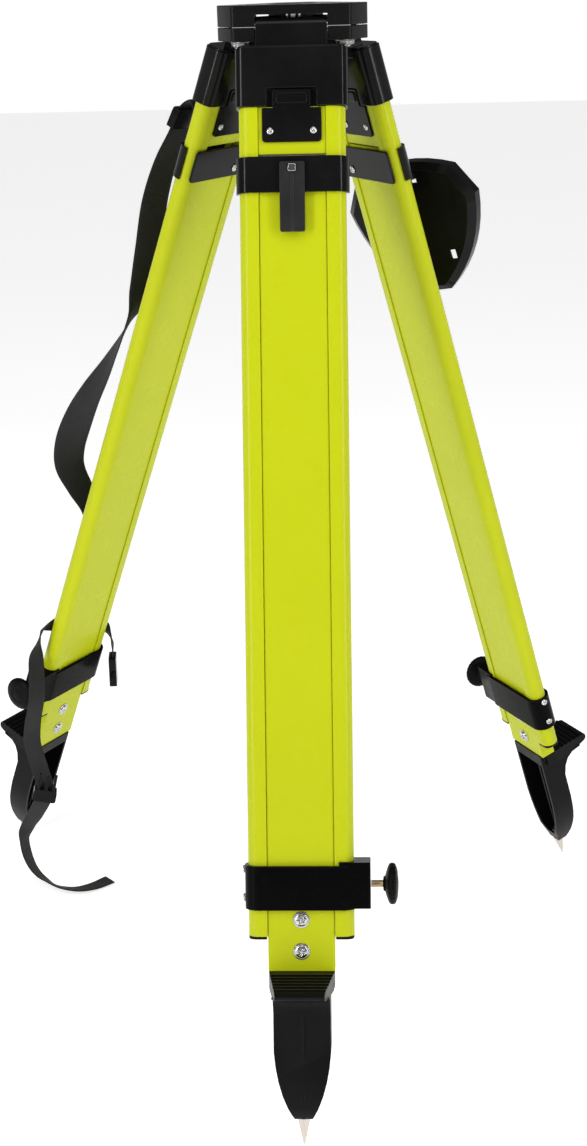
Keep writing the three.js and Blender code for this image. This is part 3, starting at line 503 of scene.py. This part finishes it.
def dress_upper_leg(leg):
    axes, body = AXES[leg], f"upper_leg_{leg}"
    faces = [seat((0, PLATE_SEAT * side, 0), (0, side, 0), (side, 0, 0)) for side in (1, -1)]
    plate, pad = rounded(PLATE_OUTLINE, PLATE_RADII), rounded(rectangle(-16.5, 16.5, -85, -73.5), 3)
    plates = [placed(slab(plate, 0, PLATE_THICK, 0.7), face) for face in faces]
    plates += [placed(slab(pad, 2, 4.2, 1.3, 4), face) for face in faces]
    piece_from(f"hinge_plate_pair_{leg}", joined(plates), axes, BLACK, body,
               [f"hinge_plates_{leg}"])
    rivets = [placed(lathe(RIVET, 28), face @ Matrix.Translation((x, -RIVET_S, PLATE_THICK)))
              for face in faces for x in (-RIVET_U, RIVET_U)]
    piece_from(f"plate_rivets_{leg}", joined(rivets), axes, STEEL, body)

    inner = seat((0, -BRACE_SEAT, 0), (0, -1, 0), (-1, 0, 0))
    outline = rounded(rectangle(-55, 55, -176.5, -139.5), 5.5, 8)
    piece_from(f"inner_brace_{leg}", placed(slab(outline, 0, BRACE_THICK, 0.9), inner), axes, BLACK, body,
               [f"inner_plate_{leg}"])
    spot = inner @ Matrix.Translation((BRACE_SCREW_U[leg], -BRACE_SCREW_S, BRACE_THICK))
    screws = [placed(pan_head(4.6, 2.4), spot)]
    screws += [placed(pan_head(4.2, 2.6), seat((CLAMP_SCREW_U, 0, s), (-1, 0, 0), (0, 1, 0.3)))
               for s in CLAMP_SCREW_S]
    piece_from(f"small_screws_{leg}", joined(screws), axes, STEEL, body)

    right = rounded(PLUG_OUTLINE, PLUG_RADII, 10)
    left = [Vector((-p.x, p.y)) for p in right[::-1]]
    plugs = [placed(slab(outline, *PLUG_S, 0.7), seat((0, 0, 0), (0, 0, 1))) for outline in (left, right)]
    piece_from(f"rail_plugs_{leg}", joined(plugs), axes, BLACK, body)
    if leg != "left":
        stud = slab(rounded(rectangle(-3.9, 3.9, -156.4, -148.6), 0.8), 0, 1.4, 0.6)
        piece_from(f"tab_stud_{leg}", placed(stud, seat((0, STUD_SEAT, 0), (0, 1, 0))), axes, STEEL, body)

    hub, body = seat(KNOB_SEAT, (1, 0, 0), (0, 1, 0)), f"knob_{leg}"
    piece_from(f"knob_grip_{leg}", placed(lathe(KNOB_PROFILE, 96, 24, 0.5, 20.5), hub), axes, KNOB_BLACK,
               body, [f"clamp_knob_{leg}"])
    piece_from(f"knob_screw_{leg}", placed(thread(0.2, 13), hub), axes, BRASS, body,
               [f"clamp_knob_{leg}"])


def dress_lower_leg(leg):
    axes, body = lower_axes(leg), f"lower_leg_{leg}"
    for name, s in CROSS_BOLT_S.items():
        bolt = [placed(pan_head(6.8, 2.8, 8.8),
                       seat((0, CROSS_BOLT_SEAT * side, s), (0, side, 0), (side, 0, 0.35)))
                for side in (1, -1)]
        bolt.append(placed(lathe([(3.1, -9.5), (3.1, 9.5)], 24), seat((0, 0, s), (0, 1, 0))))
        piece_from(f"cross_bolt_{name}_{leg}", joined(bolt), axes, STEEL, body,
                   [f"boot_bolt_{name}_{leg}"])


def dress_head():
    corners = [math.pi / 3 * k for k in range(6)]
    hexagon = rounded([(HEXAGON_REACH * math.cos(a), HEXAGON_REACH * math.sin(a)) for a in corners], 0.5, 2)
    for leg, angle in HEAD_TURN.items():
        turn = Matrix.Rotation(math.radians(angle), 4, "Z")
        bolts = []
        for place in HEAD_BOLT_PLACES:
            spot = turn @ Matrix.Translation(place) @ Matrix.Rotation(math.pi, 4, "X")
            bolts.append(placed(lathe([(8.6, 0), (8.6, 1), (8.2, 1.4), (4, 1.4)], 32), spot))
            bolts.append(placed(slab(hexagon, 1.2, 6.4, 0.8), spot))
            bolts.append(placed(thread(6, 9.5), spot))
        piece_from(f"head_bolts_{leg}", joined(bolts), HEAD_AXES, BOLT_STEEL, "head")


for leg_name in LEGS:
    dress_upper_leg(leg_name)
    dress_lower_leg(leg_name)
dress_head()


# ---------------------------------------------------------------- straps
def catmull_rom(points, share):
    """The point at a share, 0 to 1, of a centripetal spline through points."""
    last = len(points) - 1
    place = min(share * last, last - 1e-9)
    i = int(place)
    t = place - i
    before = points[i - 1] if i else points[0] * 2 - points[1]
    after = points[i + 2] if i + 2 <= last else points[last] * 2 - points[last - 1]
    chain = (before, points[i], points[i + 1], after)
    d0, d1, d2 = (max((b - a).length ** 0.5, 1e-4) for a, b in zip(chain, chain[1:]))
    p0, p1, p2, p3 = chain
    m1 = ((p1 - p0) / d0 - (p2 - p0) / (d0 + d1) + (p2 - p1) / d1) * d1
    m2 = ((p2 - p1) / d1 - (p3 - p1) / (d1 + d2) + (p3 - p2) / d2) * d1
    return p1 + m1 * t + (p1 * -3 + p2 * 3 - m1 * 2 - m2) * t ** 2 + (p1 * 2 - p2 * 2 + m1 + m2) * t ** 3


STRAP_STEPS, STRAP_FACES_ACROSS = 240, 10
THIN_EDGE = 0.55  # the share of its thickness that a strap loses at its edges
NUDGE = 1e-4  # the share of a route that its direction is taken over


def webbing(name, route, width, thick, axes, body, **cord):
    """A flat strap along the rows (u, w, s, across u, across w, across s). Its cord keywords are not used.
    """
    centre = [in_leg(*row[:3]) for row in route]
    across = [in_leg(*row[3:]) for row in route]
    build = bmesh.new()
    flat = build.loops.layers.uv.new("flat")
    profile = [(x / STRAP_FACES_ACROSS - 0.5, 0.5) for x in range(STRAP_FACES_ACROSS + 1)]
    profile += [(-x, -y) for x, y in profile]
    rings, path, gone = [], [], 0.0
    for i in range(STRAP_STEPS + 1):
        share = i / STRAP_STEPS
        point = catmull_rom(centre, share)
        ahead = catmull_rom(centre, min(1, share + NUDGE)) - catmull_rom(centre, max(0, share - NUDGE))
        ahead.normalize()
        side = catmull_rom(across, share)
        side = (side - ahead * side.dot(ahead)).normalized()
        normal = ahead.cross(side)
        if path:
            gone += (point - path[-1]).length
        path.append(point)
        ring = []
        for x, y in profile:
            edge = 1 - THIN_EDGE * (abs(x) > 0.49)
            ring.append(build.verts.new(point + side * (x * width) + normal * (y * thick * edge)))
        rings.append((ring, gone))
    for (low, from_s), (high, to_s) in zip(rings, rings[1:]):
        for j in range(len(profile)):
            k = (j + 1) % len(profile)
            face = build.faces.new((low[j], low[k], high[k], high[j]))
            for loop, (index, s) in zip(face.loops, ((j, from_s), (k, from_s), (k, to_s), (j, to_s))):
                loop[flat].uv = (profile[index][0] * width * MM, s * MM)
    for ring, _ in (rings[0], rings[-1]):
        build.faces.new(ring)
    strap = piece_from(name, build, axes, WEBBING, body)
    return strap


def turned(u, w, s, angle):
    """A row of a route whose width lies level, at an angle from across the leg."""
    return (u, w, s, math.cos(math.radians(angle)), math.sin(math.radians(angle)), 0)


SHOULDER_ROUTE = [
    turned(2, 16.6, 158, 180), turned(2, 20, 136, 180), turned(3, 27, 112, 180),
    turned(4, 36, 103, 180), turned(6, 44.5, 113, 180), turned(8, 48, 144, 182),
    turned(9.5, 53.6, 182, 188), turned(12, 52.6, 232, 195), turned(14.8, 41.5, 290, 200),
    turned(18.6, 33.7, 338, 192), turned(20, 32.5, 363, 172), turned(22, 37.2, 386, 155),
    turned(24, 42, 416, 142), turned(26, 49.6, 454, 125), turned(28, 59.6, 494, 105),
    turned(29.7, 66.4, 533, 80), turned(29.8, 68.6, 571, 55), turned(28.2, 62.4, 598, 35),
    turned(22, 43, 622, 14), turned(13, 26, 642, 4), turned(5, 15.5, 668, 0), turned(1, 13, 700, 0),
    turned(0, 13, 760, 0), turned(0, 13, 815, 0), turned(0, 13, 868, 0),
]
TIE_ROUTE = [
    (-60.4, -26, 887, -0.79, 0.62, 0), (-61.5, -20.5, 871, -0.79, 0.62, 0),
    (-61.5, -9, 857, -0.5, 0.7, 0.5), (-59.4, 0, 852, 0, 0.1, 1), (-55.6, 9.4, 850, 0, 0, 1),
    (-46, 13.6, 847, 0, 0, 1), (-26, 15.8, 841, 0, 0, 1), (0, 16, 832, 0, 0, 1),
    (26, 15.8, 822, 0, 0, 1), (46, 15.6, 815, 0, 0.2, 1), (60, 16.5, 817, -0.5, 0.5, 0.7),
    (68, 12, 833, -0.9, 0.4, 0.2), (77, 3, 851, -0.95, -0.3, 0), (90, -14, 867, -0.9, -0.4, 0),
    (98, -26, 883, -0.9, -0.42, 0), (100, -30, 898, -0.9, -0.42, 0), (99, -32, 925, -0.85, -0.5, 0),
    (97, -38, 955, -0.7, -0.7, 0), (95.5, -58, 985, -0.62, -0.79, 0), (98, -77, 1006, -0.62, -0.79, 0),
    (99, -79, 1022, -0.62, -0.79, 0), (95, -71, 1060, -0.7, -0.7, 0), (91, -62, 1097, -0.9, -0.4, 0),
    (93, -65, 1112, -0.95, 0.1, 0.1), (95, -75.6, 1127, -0.95, 0.3, 0),
    (95.5, -90, 1140, -0.92, 0.35, 0.2), (94.5, -105, 1147, -0.85, 0.35, 0.4),
    (98.5, -127, 1142, -0.74, 0.25, 0.64), (97, -147, 1135.5, -0.72, 0.4, 0.56),
    (86.7, -163, 1131.7, -0.62, 0.62, 0.48), (68, -174.8, 1128.5, -0.48, 0.78, 0.4),
    (42.2, -181.8, 1126.8, -0.4, 0.85, 0.34),
]
shoulder = webbing("shoulder_webbing", SHOULDER_ROUTE, 38, 2.2, AXES["left"], "upper_leg_left",
                   far_end="object", lay="loose", with_pieces=[NODES["strap_slider"]])
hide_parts("shoulder_strap")
tie = webbing("tie_webbing", TIE_ROUTE, 22, 2, AXES["left"], "upper_leg_left", far_end="bare", lay="hanging",
              with_pieces=[NODES["tie_buckle_socket"], NODES["tie_buckle_plug"]])
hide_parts("tie_strap")


# ---------------------------------------------------------------- floor and light
FLOOR_HALF, FLOOR_GLOW = 14, 0.62
SKY_HEIGHTS, SKY_STRENGTHS = (0.04, 0.24), (1.0, 0.14)  # bright along the horizon, dim above
LIGHTS = (  # name, place, width, height, watts
    ("left_strip", (-2.0, -1.9, 1.7), 0.3, 2.8, 50),
    ("right_strip", (2.2, -1.6, 1.7), 0.3, 2.8, 42),
    ("overhead", (0.2, -1.0, 3.1), 1.4, 0.9, 12),
)
AIM_HEIGHT = 0.7
SUN_STRENGTH, SUN_SPREAD, SUN_TILT = 0.35, math.radians(60), (math.radians(16), math.radians(-8), 0)


def make_floor():
    mesh = bpy.data.meshes.new("floor")
    mesh.from_pydata([(x, y, 0) for x, y in rectangle(-FLOOR_HALF, FLOOR_HALF, -FLOOR_HALF, FLOOR_HALF)], [],
                     [(0, 1, 2, 3)])
    floor = bpy.data.objects.new("floor", mesh)
    n = Nodes("floor")
    color = n.ramp(n.noise(3, 3), (0.3, (0.94, 0.94, 0.94)), (0.7, (0.96, 0.96, 0.96)))
    mesh.materials.append(n.shade(Base_Color=color, Roughness=0.9, Emission_Color=(1, 1, 1),
                                  Emission_Strength=FLOOR_GLOW, Specular_IOR_Level=0.1))
    bpy.context.scene.collection.objects.link(floor)


def make_sky():
    world = bpy.data.worlds.new("studio")
    world.use_nodes = True
    nodes, links = world.node_tree.nodes, world.node_tree.links
    where = nodes.new("ShaderNodeTexCoord")
    split = nodes.new("ShaderNodeSeparateXYZ")
    dim = nodes.new("ShaderNodeMapRange")
    dim.interpolation_type = "SMOOTHSTEP"
    for key, number in zip(("From Min", "From Max", "To Min", "To Max"), SKY_HEIGHTS + SKY_STRENGTHS):
        dim.inputs[key].default_value = number
    links.new(where.outputs["Generated"], split.inputs[0])
    links.new(split.outputs["Z"], dim.inputs["Value"])
    links.new(dim.outputs["Result"], nodes["Background"].inputs["Strength"])
    nodes["Background"].inputs["Color"].default_value = (1, 1, 1, 1)
    bpy.context.scene.world = world


def make_lights():
    aim = HEAD_AXIS + Vector((0, 0, AIM_HEIGHT))
    for name, place, wide, tall, power in LIGHTS:
        light = bpy.data.lights.new(name, "AREA")
        light.shape, light.size, light.size_y, light.energy = "RECTANGLE", wide, tall, power
        lamp = bpy.data.objects.new(name, light)
        lamp.location = place
        lamp.rotation_euler = (aim - lamp.location).to_track_quat("-Z", "Y").to_euler()
        bpy.context.scene.collection.objects.link(lamp)
    sun = bpy.data.lights.new("sun", "SUN")
    sun.energy, sun.angle = SUN_STRENGTH, SUN_SPREAD
    high = bpy.data.objects.new("sun", sun)
    high.rotation_euler = SUN_TILT
    bpy.context.scene.collection.objects.link(high)


make_floor()
make_sky()
make_lights()
bpy.context.scene.view_settings.view_transform = "Standard"
